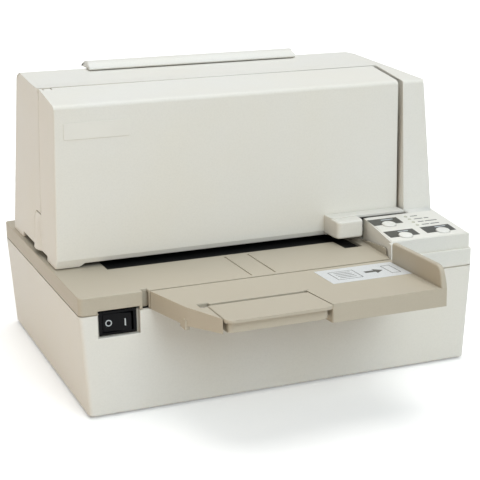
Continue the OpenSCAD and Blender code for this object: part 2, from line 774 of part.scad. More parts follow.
module panel_board() in_case() on_panel() color(board_green)
    along_z(-board_drop - 1.6, -board_drop) polygon([
        [panel_left(7) + wall + 0.6, 6], [panel_right - wall - 0.6, 6],
        [panel_right - wall - 0.6, panel_back - wall - 2.4],
        [panel_left(panel_back) + wall + 0.6, panel_back - wall - 2.4],
    ]);

switch_top = -panel_wall - 1.2 - button_travel - 0.1;

module tact_switches() in_case() on_panel() color(dark_grey) for (p = button_at) {
    along_z(-board_drop, switch_top - 1) translate(p - [3, 3]) square(6);
    rod_z(switch_top - 1.1, switch_top, p[0], p[1], 1.7);
}

// Slip table

module slip_table() in_case() color(beige) {
    difference() {
        along_z(deck_z - table_h, deck_z) polygon([
            [table_right, table_front], [table_right, table_back], [table_left, table_back],
            [table_side(leaf_y), leaf_y], [table_side(table_front + 3), table_front + 3],
            [leaf_left - 0.5, table_front + 1], [leaf_left - 0.5, leaf_y],
            [leaf_side(leaf_y) + 0.5, leaf_y], [leaf_side(table_front) + 0.5, table_front],
        ]);
        along_z(deck_z - 20, deck_z - table_top_t) {
            polygon([
                [table_side(leaf_y + 2.2) + 2.6, leaf_y + 2.2], [table_right - 2.4, leaf_y + 2.2],
                [table_right - 2.4, table_back - 2.4], [table_left + 2.6, table_back - 2.4],
            ]);
            polygon([
                [leaf_side(table_front) + 2.9, table_front + 2.2], [table_right - 2.4, table_front + 2.2],
                [table_right - 2.4, leaf_y + 3], [leaf_side(leaf_y) + 2.9, leaf_y + 3],
            ]);
        }
        box([hole_x, leaf_y - groove_w, deck_z - 20],
            [hole_x + hole_size[0], leaf_y - groove_w + hole_size[1], deck_z + 1]);
        box([leaf_x - 1, leaf_y - 0.1, deck_z - 3], [leaf_x + 1.5, leaf_y + 1.2, deck_z + 1]);
    }
    // Guide wall along the right edge
    along_x(guide_x, table_right) polygon(rounded([
        [table_front, deck_z - 0.1], [guide_back, deck_z - 0.1],
        [guide_back, deck_z + guide_h], [table_front + 3, deck_z + guide_h],
    ], [0, 0, 1.5, 6]));
    // Tongues that plug into the deck's front
    for (x = tongue_at) box([x - 6, table_back - 0.1, case_h + 3], [x + 6, wall + 1.6, case_h + 6]);
    // Stop hook under the left edge
    box([table_side(-38) - 1, -38, case_h - 2], [table_side(-38) + 1.6, -30, case_h + 4]);
    for (x = leaf_ear_at) difference() {
        union() {
            rod_x(x, x + leaf_ear_w, leaf_axis[0], leaf_axis[1], leaf_knuckle);
            box([x, leaf_axis[0], leaf_axis[1] - leaf_knuckle],
                [x + leaf_ear_w, leaf_y + 0.5, leaf_axis[1] + leaf_knuckle]);
        }
        rod_x(x - 1, x + leaf_ear_w + 1, leaf_axis[0], leaf_axis[1], leaf_pin_r + run_fit);
    }
}

leaf_ear_w = 5;
leaf_ear_at = [leaf_left + 8, leaf_x - 17];
leaf_back = leaf_y - groove_w;
leaf_plan = rounded([
    [leaf_left, -table_reach], [leaf_side(-table_reach), -table_reach],
    [leaf_side(leaf_back), leaf_back], [leaf_left, leaf_back],
], [5, 4, 0, 0]);

module table_leaf() in_case() color(beige) difference() {
    union() {
        along_z(deck_z - lip_t, deck_z) polygon(leaf_plan);
        difference() {
            along_z(deck_z - leaf_h, deck_z - lip_t + 0.1) polygon(inset(leaf_plan, 1.8));
            along_z(deck_z - leaf_h - 1, deck_z - lip_t) polygon(inset(leaf_plan, 3.4));
        }
        for (x = leaf_ear_at) {
            x0 = x + leaf_ear_w + 0.4;
            rod_x(x0, x0 + 6, leaf_axis[0], leaf_axis[1], leaf_knuckle);
            box([x0, leaf_axis[0] - leaf_knuckle, leaf_axis[1]],
                [x0 + 6, leaf_axis[0] - 0.5, deck_z - leaf_h + 2]);
        }
    }
    for (x = leaf_ear_at) {
        box([x - 0.5, leaf_axis[0] - 4, deck_z - leaf_h - 4],
            [x + leaf_ear_w + 0.4, leaf_axis[0] + 4, leaf_axis[1] + leaf_knuckle + 1]);
        rod_x(x, x + leaf_ear_w + 8, leaf_axis[0], leaf_axis[1], leaf_pin_r + run_fit);
    }
}

module leaf_pins() in_case() color(steel) for (x = leaf_ear_at)
    rod_x(x + 0.3, x + leaf_ear_w + 6.2, leaf_axis[0], leaf_axis[1], leaf_pin_r);

module table_label() in_case() color([0.80, 0.77, 0.70])
    box([guide_x - 51, -33, deck_z], [guide_x - 0.5, -6.5, deck_z + 0.12]);

// Power switch

module switch_body() in_case() color(black) difference() {
    union() {
        box([switch_x - switch_bezel[0] / 2, switch_in - 1.2, switch_z - switch_bezel[1] / 2],
            [switch_x + switch_bezel[0] / 2, switch_in, switch_z + switch_bezel[1] / 2]);
        box([switch_x - switch_hole[0] / 2, switch_in - 0.1, switch_z - switch_hole[1] / 2],
            [switch_x + switch_hole[0] / 2, switch_in + 15, switch_z + switch_hole[1] / 2]);
        for (x = [-6, 0, 6])
            box([switch_x + x - 0.4, switch_in + 14, switch_z - 2.4],
                [switch_x + x + 0.4, switch_in + 23, switch_z + 2.4]);
    }
    box([switch_x - 9.1, switch_in - 2, switch_z - 5.6], [switch_x + 9.1, switch_in + 9, switch_z + 5.6]);
    rod_z(switch_z - 5.9, switch_z + 5.9, switch_x, rocker_y, 0.8 + run_fit);
}

rocker_y = switch_in + 3;
rocker_half = 8.2;
rocker_front = 5.2;
rocker_dish = 1.2;
dish_tilt = atan(rocker_dish / rocker_half);

// Places its children in the rocker's own frame, pressed at the left
module on_rocker() translate([switch_x, rocker_y, switch_z]) rotate([0, 0, -rocker_tilt]) children();

module switch_rocker() in_case() color(black) on_rocker() {
    along_z(-5.3, 5.3) polygon([
        [-rocker_half, -rocker_front], [0, rocker_dish - rocker_front], [rocker_half, -rocker_front],
        [rocker_half, 0.5], [4.5, 4], [-4.5, 4], [-rocker_half, 0.5],
    ]);
    rod_z(-5.7, 5.7, 0, 0, 0.8);
}

module on_dish(side) translate([0, rocker_dish - rocker_front, 0]) rotate([0, 0, -side * dish_tilt])
    translate([side * rocker_half * 0.58, 0, 0]) children();

module rocker_marks() in_case() color([0.92, 0.92, 0.90]) on_rocker() {
    on_dish(-1) difference() {
        rod_y(-0.12, 0, 0, 0, 1.9);
        rod_y(-1, 1, 0, 0, 1.35);
    }
    on_dish(1) box([-0.35, -0.12, -2.05], [0.35, 0, 2.05]);
}

// Frame of the mechanism

module base_chassis() in_case() color(steel) difference() {
    union() {
        box([-half_w + 14, 18, chassis_z], [half_w - 14, body_d - 14, frame_z]);
        for (p = board_post_at) rod_z(frame_z - 0.1, board_z, p[0], p[1], 3);
    }
    for (p = boss_at) rod_z(chassis_z - 1, frame_z + 1, p[0], p[1], 1.7 + run_fit);
}

board_box = [[-58, 96], [frame_right - 1.4, body_d - 20]];
board_post_at = [
    for (x = [board_box[0][0] + 6, board_box[1][0] - 6])
        for (y = [board_box[0][1] + 6, board_box[1][1] - 6]) [x, y],
];

module case_screws() in_case() color(steel) for (p = boss_at) {
    rod_z(wall + 0.9, frame_z + 0.1, p[0], p[1], 1.7);
    rod_z(frame_z, frame_z + 2, p[0], p[1], 3.2);
}

frame_side = [
    [frame_front, frame_z], [frame_back, frame_z], [frame_back, frame_top - 18],
    [frame_back - 6, frame_top], [print_y, frame_top], [print_y - 20, deck_z + 36],
    [cover_back + 6, deck_z + 36], [cover_back + 6, deck_z + 6], [frame_front, deck_z + 6],
];

module frame_plate(x) difference() {
    along_x(x, x + frame_t) polygon(frame_side);
    rod_x(x - 1, x + frame_t + 1, shaft_y, shaft_z, shaft_r + run_fit);
    for (y = [front_feed_y, rear_feed_y]) {
        rod_x(x - 1, x + frame_t + 1, y, feed_z, feed_shaft_r + run_fit);
        rod_x(x - 1, x + frame_t + 1, y, pinch_z, pinch_shaft_r + run_fit);
    }
}

tab_z = belt_z - belt_w / 2 - 3;
tab_t = 1.6;

module left_frame() in_case() color(steel) {
    difference() {
        frame_plate(frame_left);
        rod_x(frame_left - 1, frame_left + frame_t + 1, gear_mid_y, pinion_z, 4);
    }
    // Stub axle of the idler gear
    rod_x(frame_left - 9.5, frame_left + 0.1, gear_mid_y, idler_z, 2.5);
    difference() {
        box([frame_left + frame_t - 0.1, belt_y - 7, tab_z], [idler_x + 8, frame_back, tab_z + tab_t]);
        rod_z(tab_z - 1, tab_z + tab_t + 1, idler_x, belt_y, 1.5 + run_fit);
    }
}

module right_frame() in_case() color(steel) {
    difference() {
        frame_plate(frame_right);
        // Notch that the belt runs through
        box([frame_right - 1, belt_y - pulley_r - belt_t - 1.5, belt_z - belt_w / 2 - 1.5],
            [frame_right + frame_t + 1, frame_back + 1, belt_z + belt_w / 2 + 1.5]);
    }
    difference() {
        box([frame_right + frame_t - 0.1, belt_y - 15, tab_z], [motor_x + 14, belt_y + 15, tab_z + tab_t]);
        rod_z(tab_z - 1, tab_z + tab_t + 1, motor_x, belt_y, 5);
    }
}

module rear_plate() in_case() color(steel)
    box([frame_left + frame_t, frame_back - 1.6, board_z + 18], [frame_right, frame_back, deck_z - 10]);

module guide_shaft() in_case() color(steel)
    rod_x(frame_left - 2, frame_right + frame_t + 2, shaft_y, shaft_z, shaft_r);

module guide_rail() in_case() color(steel)
    box([frame_left + frame_t, rail_y - 1, rail_z - 4], [frame_right, rail_y + 1, rail_z + 4]);

// Carriage and print head

module carriage() in_case() color(dark_grey) difference() {
    union() {
        box([middle_x - carriage_w / 2, print_y - head_r - 3, ring_z],
            [middle_x + carriage_w / 2, shaft_y, ring_z + 3]);
        rod_x(middle_x - carriage_w / 2, middle_x + carriage_w / 2, shaft_y, shaft_z, 7.5);
        // Fork over the rail
        along_x(middle_x - 8, middle_x + 8) polygon([
            [shaft_y - 3, shaft_z + 5], [shaft_y + 5, shaft_z + 5], [rail_y - 3.4, shaft_z + 6],
            [rail_y - 3.4, rail_z - 3], [rail_y - 1.4, rail_z - 3], [rail_y - 1.4, rail_z + 4.6],
            [rail_y + 1.4, rail_z + 4.6], [rail_y + 1.4, rail_z - 3], [rail_y + 3.4, rail_z - 3],
            [rail_y + 3.4, rail_z + 7], [shaft_y - 3, rail_z + 7],
        ]);
        // Clamp on the front run of the belt
        along_x(middle_x - 6, middle_x + 6) polygon([
            [rail_y - 3.4, rail_z - 2], [rail_y - 3.4, belt_z - 4], [clamp_y[0], belt_z - 4],
            [clamp_y[0], belt_z + belt_w / 2 + 0.6], [clamp_y[1], belt_z + belt_w / 2 + 0.6],
            [clamp_y[1], belt_z - 4], [clamp_y[1] + 1.6, belt_z - 4],
            [clamp_y[1] + 1.6, belt_z + belt_w / 2 + 2.4], [rail_y - 1.4, belt_z + belt_w / 2 + 2.4],
            [rail_y - 1.4, rail_z - 2],
        ]);
    }
    rod_x(middle_x - carriage_w, middle_x + carriage_w, shaft_y, shaft_z, bush_r + run_fit);
    rod_z(ring_z - 1, ring_z + 4, middle_x, print_y, head_r + 0.1);
}

belt_front_y = belt_y - pulley_r - belt_t;
clamp_y = [belt_front_y - 0.25, belt_y - pulley_r + 0.25];

module carriage_bushes() in_case() color([0.78, 0.62, 0.34])
    for (x = [middle_x - carriage_w / 2, middle_x + carriage_w / 2 - 9]) difference() {
        rod_x(x, x + 9, shaft_y, shaft_z, bush_r);
        rod_x(x - 1, x + 10, shaft_y, shaft_z, shaft_r + run_fit);
    }

module print_head() in_case() color(black) {
    rod_z(head_z - 6, ring_z + 3.1, middle_x, print_y, head_r);
    rod_z(ring_z + 3, ring_z + 5.4, middle_x, print_y, head_r + 1.8);
    along_z(nose_z + 4, head_z - 5.9) polygon(rounded(
        rect(middle_x - 6, print_y - 7, middle_x + 6, print_y + 7), [2, 2, 2, 2]
    ));
    box([middle_x - 2.5, print_y - 4, nose_z], [middle_x + 2.5, print_y + 4, nose_z + 4.1]);
}

nose_z = bed_z + 2.6;
ribbon_z = bed_z + 2;

module head_heatsink() in_case() color([0.55, 0.56, 0.58]) difference() {
    rod_z(ring_z + 5.4, ring_z + 19, middle_x, print_y, head_r);
    for (k = [-3:3]) box(
        [middle_x - head_r - 1, print_y + k * head_r / 4 - 1.1, ring_z + 8],
        [middle_x + head_r + 1, print_y + k * head_r / 4 + 1.1, ring_z + 20]
    );
}

cartridge_y = [cover_back + 5.4, print_y - head_r - 4];
cartridge_z = [pinch_z + pinch_r + 0.8, pinch_z + pinch_r + 16];
arm_x = [frame_left + frame_t + 3, frame_right - 9];
arm_w = 6;

module ribbon_cartridge() in_case() color(black) difference() {
    union() {
        along_z(cartridge_z[0], cartridge_z[1]) polygon(rounded(
            rect(frame_left + frame_t + 0.3, cartridge_y[0], frame_right - 0.3, cartridge_y[1]),
            [4, 4, 4, 4]
        ));
        for (x = arm_x) along_x(x, x + arm_w) polygon([
            [cartridge_y[1] - 1, cartridge_z[1] - 1], [cartridge_y[1] - 1, cartridge_z[0] + 0.1],
            [print_y - 7, ribbon_z - 0.6], [print_y + 6, ribbon_z - 0.6], [print_y + 6, ribbon_z + 4],
            [print_y - 4, ribbon_z + 5],
        ]);
    }
    rod_z(cartridge_z[0] + 3, cartridge_z[1] + 1, knob_at[0], knob_at[1], 3 + 0.1);
    box([arm_x[0] - 1, print_y - 5, ribbon_z - 0.4],
        [arm_x[1] + arm_w + 1, print_y + 5, ribbon_z + 0.7]);
}

knob_at = [frame_left + 24, (cartridge_y[0] + cartridge_y[1]) / 2];

module ribbon_band() in_case() color([0.10, 0.10, 0.16])
    box([arm_x[0] + 0.5, print_y - 4.6, ribbon_z], [arm_x[1] + arm_w - 0.5, print_y + 4.6, ribbon_z + 0.15]);

module ribbon_knob() in_case() color([0.30, 0.32, 0.36]) {
    rod_z(cartridge_z[0] + 3.4, cartridge_z[1] + 1, knob_at[0], knob_at[1], 3);
    along_z(cartridge_z[1] + 0.3, cartridge_z[1] + 8) polygon([
        for (k = [0:23]) knob_at + (k % 2 == 0 ? 8 : 7.2) * [cos(15 * k), sin(15 * k)],
    ]);
}

// Carriage drive

module carriage_motor() in_case() color([0.35, 0.36, 0.38]) difference() {
    union() {
        rod_z(tab_z - 24, tab_z, motor_x, belt_y, motor_r);
        rod_z(tab_z - 0.1, tab_z + tab_t, motor_x, belt_y, 4.5);
    }
    rod_z(tab_z - 12, tab_z + tab_t + 1, motor_x, belt_y, 1.5 + run_fit);
}

module pulley(x) {
    rod_z(belt_z - belt_w / 2 - 0.1, belt_z + belt_w / 2 + 0.1, x, belt_y, pulley_r - 0.03);
    for (z = [belt_z - belt_w / 2 - 1, belt_z + belt_w / 2 + 0.1])
        rod_z(z, z + 0.9, x, belt_y, pulley_r + 1.6);
}

module motor_pulley() in_case() color([0.72, 0.73, 0.74]) {
    pulley(motor_x);
    rod_z(tab_z - 11.6, belt_z + 6, motor_x, belt_y, 1.5);
}

module idler_pulley() in_case() color([0.72, 0.73, 0.74]) difference() {
    pulley(idler_x);
    rod_z(belt_z - belt_w, belt_z + belt_w, idler_x, belt_y, 1.5 + run_fit);
}

module idler_pin() in_case() color(steel) {
    rod_z(tab_z - 1.2, belt_z + 5.4, idler_x, belt_y, 1.5);
    rod_z(belt_z + belt_w / 2 + 1.3, belt_z + 6, idler_x, belt_y, 2.6);
}

module belt_loop(r, z0, z1) along_z(z0, z1) {
    for (x = [idler_x, motor_x]) translate([x, belt_y]) circle(r, $fn = 48);
    translate([idler_x, belt_y - r]) square([motor_x - idler_x, 2 * r]);
}

module timing_belt() in_case() color(black) difference() {
    belt_loop(pulley_r + belt_t, belt_z - belt_w / 2, belt_z + belt_w / 2);
    belt_loop(pulley_r, belt_z - belt_w, belt_z + belt_w);
}

// Slip path

inner_left = frame_left + frame_t;

module front_bed() in_case() color(black) difference() {
    union() {
        box([inner_left, inner_throat_y + 0.4, bed_z - bed_t], [frame_right, chute_y - 0.4, bed_z]);
        box(
            [throat_x[0] + seat_gap, throat_y + seat_gap, bed_z - bed_t],
            [throat_x[1] - seat_gap, inner_throat_y + 1, bed_z]
        );
        box(
            [pocket_x + seat_gap, pocket_y + seat_gap, bed_z - bed_t],
            [throat_x[1] - seat_gap, throat_y + 1, bed_z]
        );
    }
    box([inner_left + 3, print_y - 5.6, bed_z - 9], [frame_right - 3, print_y + 5.6, bed_z + 1]);
    for (x = roller_at) for (y = [front_feed_y, rear_feed_y]) box(
        [x - roller_w / 2 - 0.6, y - feed_r, bed_z - 9],
        [x + roller_w / 2 + 0.6, y + feed_r, bed_z + 1]
    );
}

module upper_guide() in_case() color(black) along_x(inner_left, frame_right) polygon([
    [cover_back + 6.4, cover_low_z + 3.4], [cover_back + 9, cover_low_z],
    [front_feed_y - 6.4, cover_low_z], [front_feed_y - 6.4, cover_low_z + sheet_t],
    [cover_back + 9.4, cover_low_z + sheet_t], [cover_back + 6.4, cover_low_z + 4.6],
]);

module platen_bar() in_case() color(steel)
    box([inner_left, print_y - 5, bed_z - 13], [frame_right, print_y + 5, bed_z - 1.8]);

module platen_pad() in_case() color(dark_grey)
    box([inner_left + 4, print_y - 5, bed_z - 1.8], [frame_right - 4, print_y + 5, bed_z - 0.1]);

// Teeth as flat-topped wedges, drawn about the origin with tooth 0 at the given angle
function gear_outline(teeth, phase) = [
    for (k = [0:teeth - 1]) let (a = phase + 360 * k / teeth, t = 360 / teeth)
        each [for (q = [[-0.30, -1.15], [-0.13, 0.85], [0.13, 0.85], [0.30, -1.15]])
            (pitch_r(teeth) + q[1] * gear_module) * [cos(a + q[0] * t), sin(a + q[0] * t)]],
];

// Angle of tooth 0 of a gear that meshes with gear a, which lies in the opposite direction
function mesh_phase(phase_a, teeth_a, dir, teeth_b) =
    let (u = (dir - phase_a) * teeth_a / 360)
    dir + 180 + (u - floor(u) - 0.5) * 360 / teeth_b;

idler_phase = 0;
dir_front = atan2(feed_z - idler_z, -gear_half);
dir_rear = atan2(feed_z - idler_z, gear_half);

module gear_at(y, z, teeth, phase, w) along_x(gear_x, gear_x + w)
    translate([y, z]) polygon(gear_outline(teeth, phase));

module feed_shaft(y, dir) {
    rod_x(gear_x - 1, frame_right + frame_t + 3, y, feed_z, feed_shaft_r);
    gear_at(y, feed_z, roller_teeth, mesh_phase(idler_phase, idler_teeth, dir, roller_teeth), gear_w);
}

module front_feed_shaft() in_case() color(steel) feed_shaft(front_feed_y, dir_front);
module rear_feed_shaft() in_case() color(steel) feed_shaft(rear_feed_y, dir_rear);

module feed_rollers(y) for (x = roller_at) difference() {
    rod_x(x - roller_w / 2, x + roller_w / 2, y, feed_z, feed_r);
    rod_x(x - roller_w, x + roller_w, y, feed_z, feed_shaft_r + run_fit);
}

module feed_rollers_front() in_case() color(dark_grey) feed_rollers(front_feed_y);
module feed_rollers_rear() in_case() color(dark_grey) feed_rollers(rear_feed_y);

module feed_idler_gear() in_case() color([0.86, 0.84, 0.76]) difference() {
    gear_at(gear_mid_y, idler_z, idler_teeth, idler_phase, gear_w);
    rod_x(gear_x - 1, gear_x + gear_w + 1, gear_mid_y, idler_z, 2.5 + run_fit);
}

module feed_motor() in_case() color([0.35, 0.36, 0.38]) difference() {
    union() {
        rod_x(inner_left, inner_left + 30, gear_mid_y, pinion_z, feed_motor_r);
        rod_x(frame_left, inner_left + 0.1, gear_mid_y, pinion_z, 3.6);
    }
    rod_x(frame_left - 1, inner_left + 12, gear_mid_y, pinion_z, 1.2 + run_fit);
}

module feed_pinion() in_case() color([0.76, 0.62, 0.34]) {
    gear_at(gear_mid_y, pinion_z, pinion_teeth,
        mesh_phase(idler_phase, idler_teeth, -90, pinion_teeth), gear_w);
    rod_x(gear_x, inner_left + 11.6, gear_mid_y, pinion_z, 1.2);
}

module pinch_set(y) {
    rod_x(frame_left - 1, frame_right + frame_t + 1, y, pinch_z, pinch_shaft_r);
    for (x = roller_at) rod_x(x - roller_w / 2, x + roller_w / 2, y, pinch_z, pinch_r);
}

module pinch_front() in_case() color(dark_grey) pinch_set(front_feed_y);
module pinch_rear() in_case() color(dark_grey) pinch_set(rear_feed_y);

// A sheet between two radii that starts at angle a0 and ends along the rear wall
module chute(r0, r1, a0) along_x(inner_left, frame_right) polygon(concat(
    arc([chute_y, chute_z], r1, a0, chute_tilt, 14),
    [[chute_line(chute_top, chute_r - r1), chute_top], [chute_line(chute_top, chute_r - r0), chute_top]],
    arc([chute_y, chute_z], r0, chute_tilt, a0, 14)
));

module rear_chute() in_case() color(beige) chute(chute_r, chute_r + sheet_t, -90);
module inner_chute() in_case() color(beige)
    chute(chute_r - chute_gap - sheet_t, chute_r - chute_gap, -80);

// Electronics

module main_board() in_case() color(board_green)
    box([board_box[0][0], board_box[0][1], board_z],
        [board_box[1][0], board_box[1][1] - 0.2, board_z + board_t]);

board_top = board_z + board_t;

module board_parts() in_case() color(dark_grey) {
    box([-50, 104, board_top], [-22, 134, board_top + 14]);
    box([0, 106, board_top], [34, 116, board_top + 4]);
    box([0, 122, board_top], [22, 132, board_top + 3]);
    for (k = [0:2]) rod_z(board_top, board_top + 18, 42 + 12.5 * k, 112, 5);
    for (k = [0:3]) box([28 + 11 * k, 130, board_top], [35 + 11 * k, 142, board_top + 2.6]);
}

module rear_connectors() in_case() color(dark_grey) for (s = socket_at) difference() {
    box([s[0] - s[1] / 2, body_d - 34, board_top], [s[0] + s[1] / 2, body_d - 1.6, board_top + s[2]]);
    box([s[0] - s[1] / 2 + 2, body_d - 10, board_top + 2.4],
        [s[0] + s[1] / 2 - 2, body_d, board_top + s[2] - 2.4]);
}

lower_case();
rubber_feet();
deck_cover();
rear_housing();
front_cover();
name_plate();
cover_hinge_pins();
exit_guide();
panel_overlay();
button_labels();
button_left_rear();
button_left_front();
button_right_front();
led_lenses();
panel_board();
tact_switches();
slip_table();
table_leaf();
leaf_pins();
table_label();
switch_body();
switch_rocker();
rocker_marks();
base_chassis();
case_screws();
left_frame();
right_frame();
rear_plate();
guide_shaft();
guide_rail();
carriage();
carriage_bushes();
print_head();
head_heatsink();
ribbon_cartridge();
ribbon_band();
ribbon_knob();
carriage_motor();
motor_pulley();
idler_pulley();
idler_pin();
timing_belt();
front_bed();
upper_guide();
platen_bar();
platen_pad();
front_feed_shaft();
rear_feed_shaft();
feed_rollers_front();
feed_rollers_rear();
feed_idler_gear();
feed_motor();
feed_pinion();
pinch_front();
pinch_rear();
rear_chute();
inner_chute();
main_board();
board_parts();
rear_connectors();
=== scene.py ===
import json
import math

import bmesh
import bpy
from mathutils import Matrix, Vector
from mathutils.bvhtree import BVHTree


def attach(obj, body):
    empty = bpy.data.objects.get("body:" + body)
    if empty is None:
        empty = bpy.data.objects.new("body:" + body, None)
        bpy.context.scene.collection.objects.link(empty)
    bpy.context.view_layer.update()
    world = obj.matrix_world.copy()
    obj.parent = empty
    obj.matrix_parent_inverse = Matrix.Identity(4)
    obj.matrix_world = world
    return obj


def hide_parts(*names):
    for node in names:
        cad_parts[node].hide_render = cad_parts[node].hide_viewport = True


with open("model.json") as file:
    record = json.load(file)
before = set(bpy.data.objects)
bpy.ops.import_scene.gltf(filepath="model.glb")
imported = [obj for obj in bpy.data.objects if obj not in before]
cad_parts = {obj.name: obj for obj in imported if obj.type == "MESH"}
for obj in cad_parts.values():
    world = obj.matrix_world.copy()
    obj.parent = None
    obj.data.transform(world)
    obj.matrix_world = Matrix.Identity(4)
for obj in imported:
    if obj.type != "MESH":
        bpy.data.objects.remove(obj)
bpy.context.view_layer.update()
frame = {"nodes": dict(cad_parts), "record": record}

# Sizes and places are case millimetres: X from the middle, Y from the case's front face to the rear,
# Z from its lower edge. The frame is in metres, with its origin on the ground under the middle.
MM = 0.001
CASE_FRONT = -63.0
FOOT = 1.5


def at(x, y, z):
    """A point in case millimetres as a point in the frame, in metres."""
    return Vector((x, y + CASE_FRONT, z + FOOT)) * MM


def in_case(p):
    """A point of the frame in case millimetres."""
    return p[0] / MM, p[1] / MM - CASE_FRONT, p[2] / MM - FOOT


def near(a, b, gap):
    """True where two lengths differ by less than gap."""
    return abs(a - b) < gap


# Case and deck
HALF_W = 126.0
DEPTH = 196.0
CORNER = 3.0
CASE_TOP = 60.0
DECK_TOP = 71.0

# Front cover, and the tilted panel beside it
COVER_FACE = 58.8
COVER_TOP = 169.1
CATCH_LEFT = 50.0
CATCH_RIGHT = 71.0
COLUMN_BACK = 60.0
PANEL_FRONT = 2.4
PANEL_Z = DECK_TOP + 9.3
PANEL_TILT = math.atan(0.12)

# Slip table, its leaf and the finger hole beside the leaf
TABLE_LEFT = -85.0
HOLE_LEFT = TABLE_LEFT + 15.4
LEAF_LEFT = TABLE_LEFT + 20
LEAF_FRONT = -70.0
LEAF_BACK = -39.1
LEAF_CORNER = 5.0
LIP = 1.7

# The housing's slanted rear wall: its tilt, a point on it, and a Y that the whole wall is behind
REAR_TILT = math.atan2(0.178, 0.984)
REAR_Y = 173.47
REAR_Z = 85.0
REAR_FROM = 140.0

# Sockets of the Mix node in its colour form
MIX_FACTOR, MIX_A, MIX_B, MIX_RESULT = 0, 6, 7, 2


class Graph:
    """A material and its nodes."""

    def __init__(self, name, metallic=0.0, specular=0.5):
        self.material = bpy.data.materials.new(name)
        self.material.use_nodes = True
        self.tree = self.material.node_tree
        self.shader = self.tree.nodes["Principled BSDF"]
        self.shader.inputs["Metallic"].default_value = metallic
        self.shader.inputs["Specular IOR Level"].default_value = specular

    def add(self, kind, **values):
        """A node, with values for its sockets and its settings."""
        node = self.tree.nodes.new(kind)
        for key, value in values.items():
            if key in node.inputs:
                node.inputs[key].default_value = value
            else:
                setattr(node, key, value)
        return node

    def link(self, a, b):
        self.tree.links.new(a, b)

    def mapped(self, scale):
        """The object's own coordinates, in metres, times scale."""
        place = self.add("ShaderNodeMapping", Scale=scale)
        self.link(self.add("ShaderNodeTexCoord").outputs["Object"], place.inputs["Vector"])
        return place.outputs["Vector"]

    def noise(self, size_mm, detail=2.0, stretch=(1, 1, 1)):
        """A noise whose blotches are about size_mm across; stretch draws them out along an axis."""
        node = self.add("ShaderNodeTexNoise", Scale=1.0, Detail=detail, Roughness=0.55)
        self.link(self.mapped([1 / (s * size_mm * MM) for s in stretch]), node.inputs["Vector"])
        return node.outputs["Fac"]

    def ramp(self, fac, low, high, a=0.3, b=0.7):
        """Colour from low to high as fac goes from a to b."""
        node = self.add("ShaderNodeValToRGB")
        ends = node.color_ramp.elements
        ends[0].position, ends[1].position = a, b
        ends[0].color, ends[1].color = (*low, 1), (*high, 1)
        self.link(fac, node.inputs["Fac"])
        return node.outputs["Color"]

    def mix(self, fac, a, b, how="MIX"):
        """Colours a and b mixed; each of the three is a value or another node's output."""
        node = self.add("ShaderNodeMix", data_type="RGBA", blend_type=how)
        for index, value in ((MIX_FACTOR, fac), (MIX_A, a), (MIX_B, b)):
            if isinstance(value, bpy.types.NodeSocket):
                self.link(value, node.inputs[index])
            elif isinstance(value, tuple):
                node.inputs[index].default_value = (*value, 1)
            else:
                node.inputs[index].default_value = value
        return node.outputs[MIX_RESULT]

    def spread(self, fac, low, high):
        """A number from low to high as fac goes from 0.3 to 0.7."""
        ends = {"From Min": 0.3, "From Max": 0.7, "To Min": low, "To Max": high}
        node = self.add("ShaderNodeMapRange", **ends)
        self.link(fac, node.inputs["Value"])
        return node.outputs["Result"]

    def bump(self, height, depth_mm, normal=None):
        """A normal roughened by height, on top of another normal if there is one."""
        node = self.add("ShaderNodeBump", Strength=1.0, Distance=depth_mm * MM)
        self.link(height, node.inputs["Height"])
        if normal is not None:
            self.link(normal, node.inputs["Normal"])
        return node.outputs["Normal"]

    def finish(self, colour, rough, normal):
        """The material with these three on its shader."""
        for socket, value in (("Base Color", colour), ("Roughness", rough), ("Normal", normal)):
            self.link(value, self.shader.inputs[socket])
        return self.material


WHITE = (1, 1, 1)


def shade(colour, k):
    """The colour times k, at most 1."""
    return tuple(min(1.0, c * k) for c in colour)


def moulded(name, colour, warm, rough=0.5, grain_mm=0.5, depth_mm=0.012, specular=0.4):
    """Moulded plastic with a fine spark-eroded texture, slightly uneven in colour, with painted shade
    that darkens its corners and creases."""
    g = Graph(name, specular=specular)
    broad = g.noise(70, 3)
    fine = g.noise(1.1, 3)
    base = g.ramp(broad, colour, warm, 0.35, 0.75)
    speck = g.ramp(fine, shade(WHITE, 0.965), WHITE, 0.25, 0.6)
    tint = g.mix(1.0, base, speck, "MULTIPLY")
    # Painted shade: ambient occlusion within 4 mm darkens the colour towards a warm grey in corners,
    # creases and seams.
    corners = g.add("ShaderNodeAmbientOcclusion", Distance=0.004, samples=4)
    painted_corner_shade = g.ramp(corners.outputs["AO"], (0.74, 0.68, 0.58), WHITE, 0.05, 0.75)
    corner_shaded_tint = g.mix(0.6, tint, g.mix(1.0, tint, painted_corner_shade, "MULTIPLY"))
    grain = g.noise(grain_mm, 2)
    wave = g.noise(22, 1)
    normal = g.bump(wave, 0.05, g.bump(grain, depth_mm))
    return g.finish(corner_shaded_tint, g.spread(fine, rough - 0.05, rough + 0.06), normal)


def film(name, colour, rough=0.42):
    """Printed polyester film, nearly smooth."""
    g = Graph(name, specular=0.4)
    broad = g.noise(30, 2)
    fine = g.noise(0.35, 2)
    tint = g.ramp(broad, shade(colour, 0.965), shade(colour, 1.02))
    return g.finish(tint, g.spread(fine, rough - 0.04, rough + 0.05), g.bump(fine, 0.004))


def gloss(name, colour, rough=0.22, specular=0.5):
    """Smooth polished plastic with faint wipe marks."""
    g = Graph(name, specular=specular)
    broad = g.noise(9, 2)
    wipes = g.noise(1.2, 2, (1, 6, 1))
    tint = g.ramp(broad, shade(colour, 0.94), shade(colour, 1.04))
    return g.finish(tint, g.spread(wipes, rough - 0.04, rough + 0.08), g.bump(wipes, 0.002))


